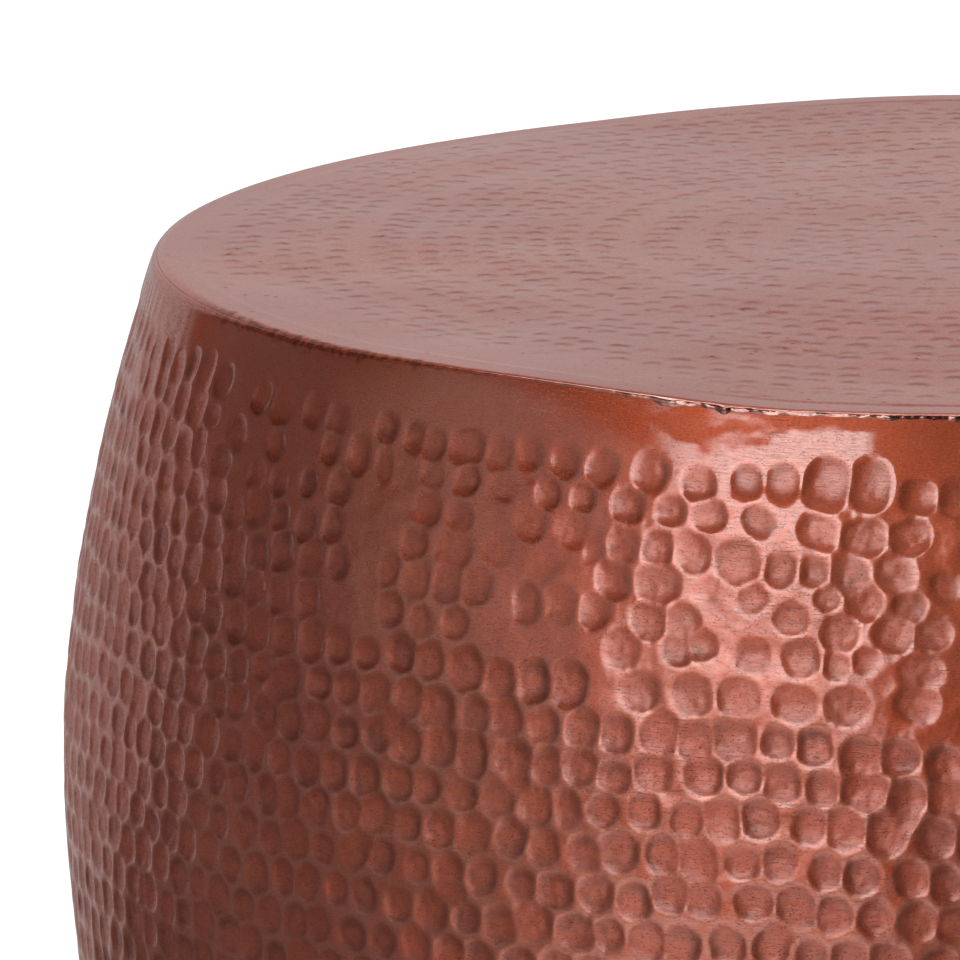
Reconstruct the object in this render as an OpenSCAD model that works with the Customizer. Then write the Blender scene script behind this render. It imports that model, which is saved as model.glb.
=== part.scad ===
// Drum-shaped occasional table in hand-hammered sheet metal.
// Frame: +Z up, origin on the floor under the centre of the table, millimetres.
// The wall's seam is on +Y, the long brace tube runs along X and the cross tube along Y.

/* [Body] */
// Overall height, floor to table top
body_h = 360; // [300:5:420]
// Diameter at the belly, the widest place
belly_d = 600; // [520:10:680]
// Diameter of the rim at the table top
rim_d = 529; // [460:1:560]
// Thickness of the rolled wall sheet
wall_t = 1.6; // [1.2:0.1:2.5]
// Thickness of the top sheet
top_t = 2; // [1.5:0.5:3]
// Rise of the wall's lower edge above the floor
ground_gap = 5; // [4:0.5:8]

/* [Welds] */
// Width of the wall's vertical butt weld
seam_w = 2.4; // [1.5:0.1:4]
// Width of that weld's crown on the inside
seam_crown_w = 6; // [4:0.5:10]
// Length of each tack weld that holds a ring
tack_l = 22; // [12:1:40]
// Number of tack welds on each ring
tack_n = 8; // [4:1:12]

/* [Top frame] */
// Radial width of the shoulder ring under the top sheet
shoulder_w = 30; // [24:1:45]
// Thickness of the shoulder ring
shoulder_t = 3; // [3:0.5:5]
// Side of the square brace tubes
tube_s = 20; // [16:1:30]
// Wall of the brace tubes
tube_t = 1.5; // [1:0.5:2]
// Shank radius of the brace screws
brace_screw_r = 2.5; // [2:0.5:3]

/* [Base] */
// Radial width of the base ring
base_w = 30; // [24:1:45]
// Thickness of the base ring
base_t = 3; // [2.5:0.5:5]
// Number of glides
glide_n = 6; // [4:1:8]
// Diameter of each glide
glide_d = 28; // [22:1:34]
// Shank radius of the glide screws
glide_screw_r = 2; // [1.5:0.5:2.5]

/* [Hidden] */

copper = [0.62, 0.29, 0.21];
bare = [0.72, 0.72, 0.73];
dark = [0.14, 0.14, 0.15];
zinc = [0.70, 0.71, 0.74];
felt = [0.33, 0.32, 0.30];

// Fits
ring_gap = 0.1;      // between a ring and the wall
lap_gap = 0.1;       // each side of the half lap
thread_gap = 0.05;   // radial, in nuts and tapped holes
washer_gap = 0.2;    // radial, in washers and glides
hole_gap = 0.25;     // radial, in drilled tubes and base ring

// Cutting shapes
cut_over = 1;   // overrun past a cut face
cut_r = 150;    // start radius of cutters, well inside the wall
cut_w = 200;    // their radial reach, past the wall

// The wall's outline is one arc, centred level with the belly and beyond the axis.
belly_z = body_h / 2;
sag = (belly_d - rim_d) / 2;
arc_r = (belly_z * belly_z + sag * sag) / (2 * sag);
arc_x = belly_d / 2 - arc_r;
wall_z0 = ground_gap;
wall_z1 = body_h - top_t;

// Radius of the outline at height z, taken at a depth in from the outer face.
function skin(z, depth = 0) = arc_x + sqrt(pow(arc_r - depth, 2) - pow(z - belly_z, 2));

// ---- shared shapes ----

module outline_disc(depth) {
    translate([arc_x, belly_z]) circle(r = arc_r - depth, $fn = 240);
}

// Flat region between two depths of the outline, from height z0 to z1.
module skin_band(outer_depth, inner_depth, z0, z1) {
    intersection() {
        difference() {
            outline_disc(outer_depth);
            outline_disc(inner_depth);
        }
        translate([cut_r, z0]) square([cut_w, z1 - z0]);
    }
}

// Flat region inside a depth of the outline, from inner_r outwards.
module skin_core(depth, inner_r, z0, z1) {
    intersection() {
        outline_disc(depth);
        translate([inner_r, z0]) square([cut_w, z1 - z0]);
    }
}

module spin(facets = 240) { rotate_extrude($fn = facets) children(); }

// Copies spaced evenly round the Z axis, the first at angle turn from +X.
module at_ring(count, radius, turn = 0) {
    for (i = [0 : count - 1])
        rotate([0, 0, turn + i * 360 / count]) translate([radius, 0, 0]) children();
}

module rod(radius, z0, height) {
    translate([0, 0, z0]) cylinder(r = radius, h = height, $fn = 48);
}

// Cutter for a through hole, overrunning both faces.
module bore(radius, z0, height) { rod(radius, z0 - cut_over, height + 2 * cut_over); }

// Hexagonal prism of the given width across flats.
module hexagon(flats, height) { cylinder(r = flats / 2 / cos(30), h = height, $fn = 6); }

module hex_nut(flats, height, hole_r) {
    difference() {
        hexagon(flats, height);
        bore(hole_r, 0, height);
    }
}

module flat_washer(outer_r, hole_r, thick) {
    difference() {
        rod(outer_r, 0, thick);
        bore(hole_r, 0, thick);
    }
}

// ---- body ----

rim_r = skin(wall_z1) - 1.9;   // edge of the top sheet, just inside the wall's outer corner
edge_ease = 0.7;               // chamfer of that edge

// Arc of the rim bead's outline, its centre measured from the top sheet's lower corner.
bead_r = 3;
bead_inset = 1.2;
bead_drop = 0.9;
bead_short = 0.3;   // from the bead's upper edge to the table top
bead_steps = 4;

seam_gap = 0.02;     // each side of the seam weld
seam_crown_t = 0.9;
seam_crown_end = 8;  // from each end of the crown to the nearer ring

// Hammered disc that closes the drum, its edge eased by the hammer.
module top_sheet() {
    color(copper) spin() polygon([[0, wall_z1], [rim_r, wall_z1], [rim_r, body_h - edge_ease],
                                  [rim_r - edge_ease, body_h], [0, body_h]]);
}

module closed_wall() { spin() skin_band(0, wall_t, wall_z0, wall_z1); }

// Full-height block across the wall at the seam.
module seam_block(width) {
    translate([-width / 2, cut_r, 0]) cube([width, cut_w, body_h]);
}

// One rolled sheet, open only along its vertical seam.
module barrel_wall() {
    color(copper) difference() {
        closed_wall();
        seam_block(seam_w);
    }
}

// Reach of the bead beyond the top sheet, at height z above the wall's upper edge.
function bead_reach(z) = sqrt(pow(bead_r, 2) - pow(z + bead_drop, 2)) - bead_inset;

// Bead run round the outside corner of the top sheet and the wall, then dressed.
module rim_weld_bead() {
    crown = top_t - bead_short;
    heights = [for (i = [0 : bead_steps]) crown * i / bead_steps];
    color(copper) spin() translate([rim_r, wall_z1])
        polygon(concat([[0, 0]], [for (z = heights) [bead_reach(z), z]], [[0, crown]]));
}

// Vertical butt weld of the wall, flush outside and crowned inside.
module wall_seam_weld() {
    color(copper) union() {
        intersection() {
            closed_wall();
            seam_block(seam_w - 2 * seam_gap);
        }
        intersection() {
            spin() skin_band(wall_t, wall_t + seam_crown_t,
                             base_z1 + seam_crown_end, shoulder_z - seam_crown_end);
            seam_block(seam_crown_w);
        }
    }
}

// ---- ring tack welds ----

tack_leg = 4.5;      // height of a fillet on the wall
tack_reach = 4;      // inward limit, from the ring's outer radius
hollow_r = 4.6;      // radius of the fillet's hollow face
hollow_in = 5.4;     // its centre, inwards from the wall
hollow_off = 5.2;    // its centre, off the ring's face

// Short fillets between the wall and a ring's face, on its upper (side = 1)
// or lower (side = -1) side.
module tack_welds(ring_r, face_z, side) {
    far_z = face_z + side * tack_leg;
    at_ring(tack_n, 0, 180 / tack_n) intersection() {
        spin() difference() {
            skin_core(wall_t, ring_r - tack_reach, min(face_z, far_z), max(face_z, far_z));
            translate([skin(face_z, wall_t) - hollow_in, face_z + side * hollow_off])
                circle(r = hollow_r, $fn = 48);
        }
        translate([cut_r, -tack_l / 2, 0]) cube([cut_w, tack_l, body_h]);
    }
}

// ---- top frame ----

shoulder_z = wall_z1 - shoulder_t;   // underside of the ring, upper face of the tubes
shoulder_ro = skin(wall_z1, wall_t);
bolt_r = shoulder_ro - shoulder_w / 2 - 1;   // screw circle, 1 inside the ring's mid width
arm_n = 4;                           // arms of the brace cross
tube_z = shoulder_z - tube_s;
tube_end = skin(shoulder_z, wall_t) - 6;

plug_flange_t = 2;
plug_stem_l = 5;
plug_gap = 0.4;

brace_hex = 8;            // across flats, screw heads and nut
brace_head_h = 3.5;
brace_washer_r = 5;
brace_washer_t = 1;
shank_lap = 0.5;          // shank's overlap into its head
brace_tip_gap = 0.5;      // from a screw's tip to the top sheet
centre_head_r = 5;
centre_head_h = 2.2;
centre_nut_h = 5;
centre_tip = 2;           // bolt's end beyond the nut

felt_r0 = 9;              // inner end of a strip, from the axis
felt_end_gap = 4;         // from its outer end to the shoulder ring
felt_margin = 2;          // from its side to the tube's side

// Flat ring under the edge of the top sheet, tapped for the brace screws.
module shoulder_ring() {
    color(dark) difference() {
        spin() skin_core(wall_t + ring_gap, shoulder_ro - shoulder_w, shoulder_z, wall_z1);
        at_ring(arm_n, bolt_r) bore(brace_screw_r + thread_gap, shoulder_z, shoulder_t);
    }
}

module shoulder_tack_welds() { color(bare) tack_welds(shoulder_ro, shoulder_z, -1); }

// Square tube across the drum, notched at mid length for the half lap:
// the upper tube from below, the other from above.
module brace_tube(upper) {
    bore_s = tube_s - 2 * tube_t;
    notch_z = upper ? tube_z - cut_over : tube_z + tube_s / 2;
    difference() {
        translate([-tube_end, -tube_s / 2, tube_z]) cube([2 * tube_end, tube_s, tube_s]);
        translate([-tube_end - cut_over, -bore_s / 2, tube_z + tube_t])
            cube([2 * (tube_end + cut_over), bore_s, bore_s]);
        translate([-tube_s / 2 - lap_gap, -tube_s, notch_z])
            cube([tube_s + 2 * lap_gap, 2 * tube_s, tube_s / 2 + cut_over]);
        for (x = [-bolt_r, 0, bolt_r])
            translate([x, 0, 0]) bore(brace_screw_r + hole_gap, tube_z, tube_s);
    }
}

module brace_tube_long() { color(dark) brace_tube(upper = false); }
module brace_tube_cross() { color(dark) rotate([0, 0, 90]) brace_tube(upper = true); }

// Flanged plastic plugs that close the four tube ends.
module brace_end_plugs() {
    stem_s = tube_s - 2 * (tube_t + plug_gap);
    color(dark) at_ring(arm_n, tube_end) union() {
        translate([0, -tube_s / 2, tube_z]) cube([plug_flange_t, tube_s, tube_s]);
        translate([-plug_stem_l, -stem_s / 2, tube_z + tube_t + plug_gap])
            cube([plug_stem_l, stem_s, stem_s]);
    }
}

// Hexagon-head screws from below, through the tubes into the tapped ring.
module brace_screws() {
    head_top = tube_z - brace_washer_t;
    shank_z = head_top - shank_lap;
    color(zinc) at_ring(arm_n, bolt_r) union() {
        translate([0, 0, head_top - brace_head_h]) hexagon(brace_hex, brace_head_h);
        rod(brace_screw_r, shank_z, wall_z1 - brace_tip_gap - shank_z);
    }
}

module brace_washers() {
    color(zinc) at_ring(arm_n, bolt_r) translate([0, 0, tube_z - brace_washer_t])
        flat_washer(brace_washer_r, brace_screw_r + washer_gap, brace_washer_t);
}

// Bolt that clamps the half lap, its low head under the top sheet.
module brace_centre_bolt() {
    below = centre_nut_h + centre_tip;
    color(zinc) union() {
        rod(centre_head_r, shoulder_z, centre_head_h);
        rod(brace_screw_r, tube_z - below, tube_s + below + shank_lap);
    }
}

module brace_centre_nut() {
    color(zinc) translate([0, 0, tube_z - centre_nut_h])
        hex_nut(brace_hex, centre_nut_h, brace_screw_r + thread_gap);
}

// Felt between the tubes and the top sheet, which stops the sheet from drumming.
module felt_strips() {
    felt_r1 = shoulder_ro - shoulder_w - felt_end_gap;
    color(felt) at_ring(arm_n, felt_r0) translate([0, -tube_s / 2 + felt_margin, shoulder_z])
        cube([felt_r1 - felt_r0, tube_s - 2 * felt_margin, shoulder_t]);
}

// ---- base ----

base_z1 = wall_z0 + base_t;
base_ro = skin(wall_z0, wall_t);
glide_r = base_ro - base_w / 2 - 0.5;   // glide circle, 0.5 inside the ring's mid width
glide_turn = 30;                        // angle of the first glide
glide_ease = 1.2;                       // chamfer round the foot
recess_r = 4.4;

pan_z = 0.6;              // underside of a screw head above the floor
pan_r = 3.8;
pan_h = 2.2;
pan_lap = 0.4;            // shank's overlap into the head
glide_shank_l = 13;
glide_washer_r = 4.5;
glide_washer_t = 0.8;
glide_nut_flats = 7;
glide_nut_h = 5;

module at_glides() { at_ring(glide_n, glide_r, glide_turn) children(); }

// Flat ring inside the wall's lower edge, drilled for the glides.
module base_ring() {
    color(dark) difference() {
        spin() skin_core(wall_t + ring_gap, base_ro - base_w, wall_z0, base_z1);
        at_glides() bore(glide_screw_r + hole_gap, wall_z0, base_t);
    }
}

module base_tack_welds() { color(bare) tack_welds(base_ro, base_z1, 1); }

// Nylon pads, recessed from below for the screw heads.
module floor_glides() {
    pad_r = glide_d / 2;
    color(dark) at_glides() difference() {
        spin(64) polygon([[0, 0], [pad_r - glide_ease, 0], [pad_r, glide_ease],
                          [pad_r, ground_gap], [0, ground_gap]]);
        bore(glide_screw_r + washer_gap, 0, ground_gap);
        rod(recess_r, -cut_over, cut_over + pan_z + pan_h);
    }
}

// Pan-head screws, up through glide and ring.
module glide_screws() {
    color(zinc) at_glides() union() {
        rod(pan_r, pan_z, pan_h);
        rod(glide_screw_r, pan_z + pan_h - pan_lap, glide_shank_l);
    }
}

module glide_washers() {
    color(zinc) at_glides() translate([0, 0, base_z1])
        flat_washer(glide_washer_r, glide_screw_r + washer_gap, glide_washer_t);
}

// Self-locking nuts above the base ring.
module glide_nuts() {
    color(zinc) at_glides() translate([0, 0, base_z1 + glide_washer_t])
        hex_nut(glide_nut_flats, glide_nut_h, glide_screw_r + thread_gap);
}

top_sheet();
barrel_wall();
rim_weld_bead();
wall_seam_weld();
shoulder_ring();
shoulder_tack_welds();
brace_tube_long();
brace_tube_cross();
brace_end_plugs();
brace_screws();
brace_washers();
brace_centre_bolt();
brace_centre_nut();
felt_strips();
base_ring();
base_tack_welds();
floor_glides();
glide_screws();
glide_washers();
glide_nuts();
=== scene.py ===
"""Hand-hammered copper drum table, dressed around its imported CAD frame.

The drum stands on z = 0 around the Z axis. Its front is -Y and its left is -X. Angles around it
start at 0 in front and are negative to the left. Lengths are in mm up to the building of a mesh.
"""

import math
from collections import namedtuple

import bpy
import numpy as np
from mathutils import Matrix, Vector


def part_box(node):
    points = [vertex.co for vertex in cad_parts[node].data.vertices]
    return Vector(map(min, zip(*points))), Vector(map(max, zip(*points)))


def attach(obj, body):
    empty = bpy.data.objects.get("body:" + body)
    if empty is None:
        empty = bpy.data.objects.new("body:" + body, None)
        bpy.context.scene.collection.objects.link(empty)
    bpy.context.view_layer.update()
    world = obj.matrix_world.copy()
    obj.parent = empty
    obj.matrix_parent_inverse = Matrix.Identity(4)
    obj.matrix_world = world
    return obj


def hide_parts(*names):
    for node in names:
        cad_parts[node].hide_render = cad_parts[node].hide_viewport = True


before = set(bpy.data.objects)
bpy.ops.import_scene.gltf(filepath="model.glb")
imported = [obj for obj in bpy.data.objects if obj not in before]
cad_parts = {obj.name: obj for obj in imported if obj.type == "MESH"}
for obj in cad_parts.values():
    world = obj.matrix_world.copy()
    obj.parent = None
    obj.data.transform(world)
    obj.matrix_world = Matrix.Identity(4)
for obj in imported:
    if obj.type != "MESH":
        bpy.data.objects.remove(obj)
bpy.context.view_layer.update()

PI = math.pi
MM = 0.001

# ---------------------------------------------------------------- sizes in mm, from the frame
wall_lo, wall_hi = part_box("barrel_wall")
top_lo, top_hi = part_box("top_sheet")
BELLY_R = max(wall_hi.x, wall_hi.y, -wall_lo.x) / MM
TOP_Z = top_hi.z / MM
BELLY_Z = TOP_Z / 2
HEM_Z = wall_lo.z / MM                       # lower edge of the wall
WALL_T = 1.6
TOP_T = (top_hi.z - top_lo.z) / MM
RIM_R = max(top_hi.x, top_hi.y) / MM + 1.1   # where the wall's line meets the top plane
RIM_LIFT = 2.0                               # the hand-made rim stands this far over the CAD top
RIM_Z = TOP_Z + RIM_LIFT


# ---------------------------------------------------------------- curves and noise
def smooth(start, end, x):
    """Eases from 0 at start to 1 at end."""
    t = np.clip((x - start) / (end - start), 0, 1)
    return t * t * (3 - 2 * t)


def window(x, rise, fall):
    """1 between the two ranges, easing up from 0 over `rise` and back over `fall`."""
    return smooth(*rise, x) * (1 - smooth(*fall, x))


def around(points):
    """A smooth periodic function of the angle in radians, from ordered (degrees, value)."""
    angle = np.radians([p[0] for p in points])
    value = np.array([p[1] for p in points], float)
    count = 1440
    grid = np.linspace(-PI, PI, count, endpoint=False)
    three_turns = np.concatenate([angle - 2 * PI, angle, angle + 2 * PI])
    table = np.interp(grid, three_turns, np.tile(value, 3))
    # a Gaussian low-pass, 34 harmonics wide, rounds the corners
    keep = np.exp(-0.5 * (np.fft.fftfreq(count, 1.0 / count) / 34.0) ** 2)
    table = np.real(np.fft.ifft(np.fft.fft(table) * keep))
    grid = np.concatenate([grid, [PI]])
    table = np.concatenate([table, table[:1]])
    return lambda theta: np.interp((np.asarray(theta) + PI) % (2 * PI) - PI, grid, table)


def waves(points, count, lengths, seed):
    """Smooth noise of about unit variance at points in mm: plane waves of the given lengths."""
    rng = np.random.default_rng(seed)
    direction = rng.normal(size=(count, points.shape[-1]))
    direction /= np.linalg.norm(direction, axis=1)[:, None]
    shortest, longest = lengths
    number = 2 * PI / np.exp(rng.uniform(np.log(shortest), np.log(longest), count))
    phase = rng.uniform(0, 2 * PI, count)
    out = np.zeros(points.shape[:-1])
    for i in range(count):
        out += np.sin(points @ (direction[i] * number[i]) + phase[i])
    return out * math.sqrt(2.0 / count)


# ---------------------------------------------------------------- the drum's bare skin
def wall_profile():
    """Tables down the wall from the rim: arc length, radius, height, normal above horizon."""
    z = np.linspace(TOP_Z, HEM_Z, 6001)
    from_belly = (z - BELLY_Z) / BELLY_Z
    power = np.where(from_belly > 0, 1.87, 2.02)
    r = BELLY_R - (BELLY_R - RIM_R) * np.abs(from_belly) ** power
    arc = np.concatenate([[0], np.cumsum(np.hypot(np.diff(r), np.diff(z)))])
    slope_r, slope_z = np.gradient(r, arc), np.gradient(z, arc)
    return arc, r, z, np.arctan2(slope_r, -slope_z)


PROFILE_ARC, PROFILE_R, PROFILE_Z, PROFILE_LEAN = wall_profile()
WALL_LENGTH = float(PROFILE_ARC[-1]) - 1.0
RIM_LEAN = float(PROFILE_LEAN[0])            # the wall's normal angle at the rim
RIM_TURN = PI / 2 - RIM_LEAN                 # how far the rim's corner turns
RIM_MID_LEAN = (PI / 2 + RIM_LEAN) / 2

# The rim by (degrees, mm): how far its line stands above RIM_Z
rim_rise = around([
    (-180, 2.1), (-172, 1.6), (-165, 0.7), (-158, 0.0), (-150, -1.1), (-138, -1.3), (-128, -1.1),
    (-108, -0.4), (-90, 0.4), (-75, 0.9), (-58, 1.1), (-46, 1.0), (-38, 1.8), (-29, 1.8),
    (-24, 1.1), (-19.5, 0.0), (-15, -1.4), (-11, -2.3), (-6, -2.4), (0, -2.7), (12, -2.2),
    (30, -0.7), (52, 0.8), (75, 1.3), (100, 0.3), (125, -1.0), (150, 0.2), (168, 1.6)])
# ... the radius its corner is rounded to
rim_round = around([
    (-180, 1.1), (-140, 1.6), (-115, 3.4), (-90, 5.4), (-70, 6.0), (-58, 4.6), (-45, 2.8),
    (-36, 1.5), (-28, 1.1), (-15, 0.8), (0, 0.8), (20, 1.1), (45, 2.2), (75, 3.0), (105, 2.2),
    (135, 1.4), (160, 1.2)])
# ... and how far it swells outwards
rim_swell = around([
    (-180, 0.2), (-140, -0.5), (-100, 0.3), (-60, -0.4), (-20, 0.5), (20, -0.3), (60, 0.4),
    (110, -0.3), (150, 0.4)])
# The painted shade line along the rim by (degrees, value): its strength, and its half width in
# mm
rim_shade_strength = around([
    (-180, 0.35), (-120, 0.12), (-76, 0.0), (-65, 0.04), (-61, 0.75), (-50, 1.0), (-41, 0.9),
    (-33, 0.50), (-20, 0.30), (0, 0.25), (30, 0.30), (90, 0.6), (150, 0.4)])
rim_shade_width = around([
    (-180, 0.8), (-76, 0.8), (-61, 1.9), (-44, 2.0), (-34, 1.1), (-20, 0.7), (20, 0.7),
    (90, 1.2), (150, 0.9)])


def rim_shade_line(theta, distance):
    """Strength of the ragged painted shade line along the rim, `distance` mm away from it."""
    theta, distance = np.broadcast_arrays(theta, distance)
    out = np.zeros(theta.shape)
    near = np.abs(distance) < 7.5
    theta, distance = theta[near], np.abs(distance[near])
    points = np.stack([RIM_R * np.sin(theta), RIM_R * np.cos(theta), 1.3 * distance], -1)
    ragged = 1 + 0.50 * waves(points, count=30, lengths=(2.4, 9.0), seed=41)
    width = np.maximum(0.3, rim_shade_width(theta) * ragged)
    patchy = np.clip(0.70 + 0.40 * waves(points, count=30, lengths=(1.3, 3.0), seed=42), 0, 1)
    out[near] = rim_shade_strength(theta) * (1 - smooth(0, 1, distance / width - 0.45)) * patchy
    return np.clip(out, 0, 1)


def wall_radius(arc):
    return np.interp(arc, PROFILE_ARC, PROFILE_R)


def skin(theta, arc):
    """Radius, height and normal angle of the bare skin.

    `arc` is the length from the middle of the rim's corner, down the wall if positive and
    inwards over the top if negative. The arguments broadcast.
    """
    theta, arc = np.broadcast_arrays(np.asarray(theta, float), np.asarray(arc, float))
    corner = rim_round(theta)
    tangent = corner * math.tan(RIM_TURN / 2)
    half = corner * RIM_TURN / 2
    plane = RIM_Z + rim_rise(theta)
    centre_r, centre_z = RIM_R - tangent, plane - corner
    lean = RIM_MID_LEAN - np.clip(arc, -half, half) / corner
    r = centre_r + corner * np.cos(lean)
    z = centre_z + corner * np.sin(lean)
    on_wall = arc > half
    below = tangent + arc - half
    rise = (plane - TOP_Z) * (1 - smooth(0, 130, below))
    r = np.where(on_wall, wall_radius(below), r)
    z = np.where(on_wall, np.interp(below, PROFILE_ARC, PROFILE_Z) + rise, z)
    lean = np.where(on_wall, np.interp(below, PROFILE_ARC, PROFILE_LEAN), lean)
    on_top = arc < -half
    inwards = -arc - half
    r = np.where(on_top, centre_r - inwards, r)
    z = np.where(on_top, plane, z)
    lean = np.where(on_top, PI / 2, lean)
    swell = smooth(-60, 0, arc) * (1 - 0.6 * smooth(60, 300, arc))
    return r + rim_swell(theta) * swell, z, lean


def place(theta, r, z):
    return np.stack([r * np.sin(theta), -r * np.cos(theta), z], -1)


def normal_of(theta, lean):
    flat = np.cos(lean)
    return np.stack([flat * np.sin(theta), -flat * np.cos(theta), np.sin(lean)], -1)


def off_skin(theta, arc, height):
    """Points `height` mm outwards from the bare skin."""
    r, z, lean = skin(theta, arc)
    return place(theta, r, z) + normal_of(theta, lean) * np.asarray(height)[..., None]


# ---------------------------------------------------------------- grids and meshes
def column_angles(fine, coarse, start, end):
    """Angles around the drum, `fine` mm apart at the belly between the degrees start and end,
    and `coarse` mm apart elsewhere; a multiple of 6 steps."""
    turn = np.linspace(-PI, PI, 20001)
    inside = window(np.degrees(turn), (start - 8, start), (end, end + 8))
    density = inside / fine + (1 - inside) / coarse
    per_step = (density[1:] + density[:-1]) / 2 * np.diff(turn) * BELLY_R
    count = np.concatenate([[0], np.cumsum(per_step)])
    steps = int(round(count[-1] / 6)) * 6
    return np.interp(np.linspace(0, count[-1], steps + 1), count, turn)


def row_arcs(parts):
    """Arc lengths through the parts (length, spacing), a multiple of 3 steps."""
    arc, count = [0.0], [0.0]
    for length, spacing in parts:
        arc.append(arc[-1] + length)
        count.append(count[-1] + length / spacing)
    steps = int(round(count[-1] / 3)) * 3
    return np.interp(np.linspace(0, count[-1], steps + 1), count, arc)


def grid_quads(index):
    """Quads over a grid of vertex numbers."""
    corners = [index[:-1, :-1], index[:-1, 1:], index[1:, 1:], index[1:, :-1]]
    return np.stack(corners, -1).reshape(-1, 4)


def stitch(fine, coarse, flip=False):
    """Triangles from an edge of 3k+1 vertices to one of k+1."""
    f0, f1, f2, f3 = fine[:-1:3], fine[1::3], fine[2::3], fine[3::3]
    c0, c1 = coarse[:-1], coarse[1:]
    corners = ((c0, f0, f1), (c0, f1, f2), (c0, f2, c1), (c1, f2, f3))
    tris = np.concatenate([np.stack(c, -1) for c in corners])
    return tris[:, ::-1] if flip else tris


def build(name, verts, faces):
    """A smooth mesh object from vertices in mm and a list of arrays of triangles or quads."""
    mesh = bpy.data.meshes.new(name)
    verts = np.ascontiguousarray(verts, np.float32) * MM
    loops = np.concatenate([np.asarray(f, np.int32).reshape(-1) for f in faces])
    totals = np.concatenate([np.full(len(f), f.shape[1], np.int32) for f in faces])
    starts = np.concatenate([[0], np.cumsum(totals)[:-1]]).astype(np.int32)
    mesh.vertices.add(len(verts))
    mesh.vertices.foreach_set("co", verts.reshape(-1))
    mesh.loops.add(len(loops))
    mesh.loops.foreach_set("vertex_index", loops)
    mesh.polygons.add(len(totals))
    mesh.polygons.foreach_set("loop_start", starts)
    mesh.update(calc_edges=True)
    mesh.validate()
    mesh.shade_smooth()
    ob = bpy.data.objects.new(name, mesh)
    bpy.context.scene.collection.objects.link(ob)
    return ob


def attribute(ob, name, values, rest=0.0):
    """A float per vertex: `values` for the first ones and `rest` for the others."""
    full = np.full(len(ob.data.vertices), rest, np.float32)
    full[:values.size] = values.reshape(-1)
    ob.data.attributes.new(name, "FLOAT", "POINT").data.foreach_set("value", full)


def sharpen(ob, degrees=42):
    """Marks the sheet's cut edges sharp, so smooth shading doesn't round them over."""
    ob.data.set_sharp_from_angle(angle=math.radians(degrees))


# ---------------------------------------------------------------- hammer blows on the wall
# Half sizes are in mm. `power` squares the oval's outline and `flat` flattens its floor.
Blow = namedtuple("Blow", "theta arc half_w half_h turn depth power flat tilt_u tilt_v")


class HammerField:
    """A height field over angle and arc length that blows are struck into."""

    def __init__(self, theta, arc, radius):
        self.theta, self.arc, self.radius = theta, arc, radius
        self.height = np.zeros((len(arc), len(theta)))

    def strike(self, blow):
        """Sinks one oval print, deeper where it lands on older work."""
        radius = float(np.interp(blow.arc, self.arc, self.radius))
        reach = 1.15 * max(blow.half_w, blow.half_h)
        j0, j1 = np.searchsorted(self.arc, [blow.arc - reach, blow.arc + reach])
        sweep = reach / radius
        i0, i1 = np.searchsorted(self.theta, [blow.theta - sweep, blow.theta + sweep])
        if j1 - j0 < 2 or i1 - i0 < 2:
            return
        u = (self.theta[i0:i1] - blow.theta)[None, :] * radius
        v = (self.arc[j0:j1] - blow.arc)[:, None]
        cos, sin = math.cos(blow.turn), math.sin(blow.turn)
        x = (u * cos + v * sin) / blow.half_w
        y = (-u * sin + v * cos) / blow.half_h
        rho = (np.abs(x) ** blow.power + np.abs(y) ** blow.power) ** (1 / blow.power)
        inside = rho < 1
        if not inside.any():
            return
        patch = self.height[j0:j1, i0:i1]
        full = blow.depth + 0.50 * -float(patch[inside].mean())
        bowl = 1 - np.clip(rho, 0, 1) ** blow.flat
        struck = -full * bowl * (1 - blow.tilt_u * x - blow.tilt_v * y)
        np.minimum(patch, struck, out=patch, where=inside)


def soften(height, theta, arc, mm):
    """Blurs the field with a Gaussian of about `mm` along both ways."""
    out = height
    for axis, step in ((0, np.median(np.diff(arc))), (1, np.median(np.diff(theta)) * BELLY_R)):
        reach = max(1, int(round(2.5 * mm / step)))
        kernel = np.exp(-0.5 * (np.arange(-reach, reach + 1) * step / mm) ** 2)
        kernel /= kernel.sum()
        pad = [(0, 0), (0, 0)]
        pad[axis] = (reach, reach)
        padded = np.pad(out, pad, mode="edge" if axis == 0 else "wrap")
        blurred = np.zeros_like(out)
        for i, weight in enumerate(kernel):
            part = [slice(None), slice(None)]
            part[axis] = slice(i, i + out.shape[axis])
            blurred += weight * padded[tuple(part)]
        out = blurred
    return out


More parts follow.
